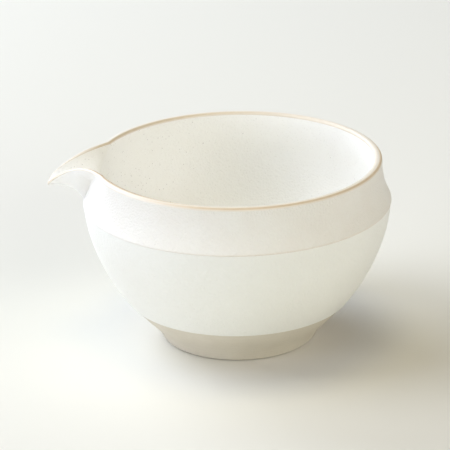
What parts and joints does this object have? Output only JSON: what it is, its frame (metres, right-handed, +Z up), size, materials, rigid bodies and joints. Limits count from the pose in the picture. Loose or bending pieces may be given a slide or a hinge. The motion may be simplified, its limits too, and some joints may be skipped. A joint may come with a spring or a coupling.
{
  "type": "spouted tea bowl",
  "caption": "Round stoneware tea bowl with a pinched pouring spout, a bare turned foot, white glaze, a second glaze dip above the belly and an iron-brown lip.",
  "frame": {"origin": "on the table, under the middle of the bowl's box, spout included", "axes": "+Z up out of the bowl, -X along the spout towards its tip, +Y to the right when looking along the spout from the bowl's back"},
  "size_m": [0.137, 0.123, 0.0752],
  "materials": {
    "stoneware": "bare, matte, slightly sandy",
    "white_glaze": "satin, fine orange peel",
    "second_dip": "satin, finely pitted",
    "iron_wash": "satin, thin and broken"
  },
  "bodies": {
    "root": {"bowl_wall": "stoneware", "foot_ring": "stoneware", "pouring_spout": "stoneware", "lining_glaze": "white_glaze", "outer_glaze": "white_glaze", "second_dip_glaze": "second_dip", "rim_wash": "iron_wash"}
  },
  "joints": []
}
